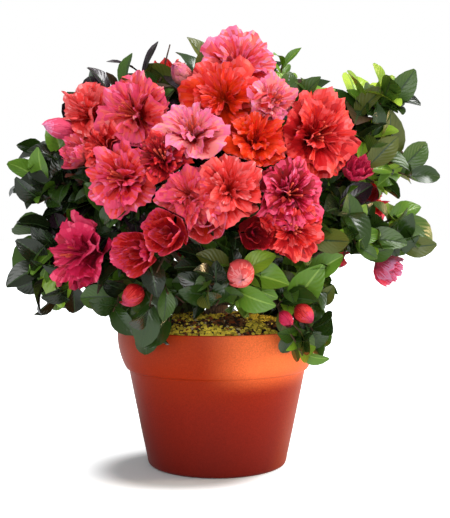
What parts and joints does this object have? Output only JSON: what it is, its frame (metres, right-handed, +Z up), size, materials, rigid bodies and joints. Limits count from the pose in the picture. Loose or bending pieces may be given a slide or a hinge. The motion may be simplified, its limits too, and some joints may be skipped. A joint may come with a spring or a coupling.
{
  "type": "potted azalea shrub",
  "caption": "Azalea shrub with a dense dome of leafy twigs and ruffled double blooms on a short trunk, growing in a round tapered plastic nursery pot.",
  "frame": {"origin": "centre of the pot's flat underside, which stands on the floor", "axes": "+Z up along the pot's axis, -Y to the plant's front, +X to its right as seen from the front"},
  "size_m": [0.3402, 0.2955, 0.358],
  "materials": {
    "pot": "satin",
    "soil": "matte",
    "bark": "matte",
    "blossom": "matte",
    "foliage": "satin"
  },
  "bodies": {
    "root": {"pot": "pot", "soil": "soil", "trunk": "bark", "bough_back_low_1": "bark", "bough_back_low_2": "bark", "bough_back_low_3": "bark", "bough_back_middle_1": "bark", "bough_back_middle_2": "bark", "bough_back_middle_3": "bark", "bough_back_middle_4": "bark", "bough_back_top_1": "bark", "bough_back_upper_1": "bark", "bough_back_upper_2": "bark", "bough_back_upper_3": "bark", "bough_crown_top": "bark", "bough_front_centre": "bark", "bough_front_high": "bark", "bough_front_left": "bark", "bough_front_left_low": "bark", "bough_front_low": "bark", "bough_front_right": "bark", "bough_front_right_low": "bark", "bough_left": "bark", "bough_left_low": "bark", "bough_right_high": "bark", "bough_right_low": "bark", "bough_upper_front": "bark", "bough_upper_left": "bark", "bough_upper_left_front": "bark", "bough_upper_right": "bark", "mass_back_low_1": "blossom", "mass_back_low_2": "blossom", "mass_back_low_3": "blossom", "mass_back_middle_1": "blossom", "mass_back_middle_2": "blossom", "mass_back_middle_3": "blossom", "mass_back_middle_4": "blossom", "mass_back_top_1": "blossom", "mass_back_upper_1": "blossom", "mass_back_upper_2": "blossom", "mass_back_upper_3": "blossom", "mass_crown_top": "blossom", "mass_front_centre": "blossom", "mass_front_high": "blossom", "mass_front_left": "blossom", "mass_front_left_low": "blossom", "mass_front_low": "foliage", "mass_front_right": "blossom", "mass_front_right_low": "foliage", "mass_left": "foliage", "mass_left_low": "blossom", "mass_right_high": "foliage", "mass_right_low": "foliage", "mass_upper_front": "blossom", "mass_upper_left": "blossom", "mass_upper_left_front": "blossom", "mass_upper_right": "blossom"}
  },
  "joints": []
}
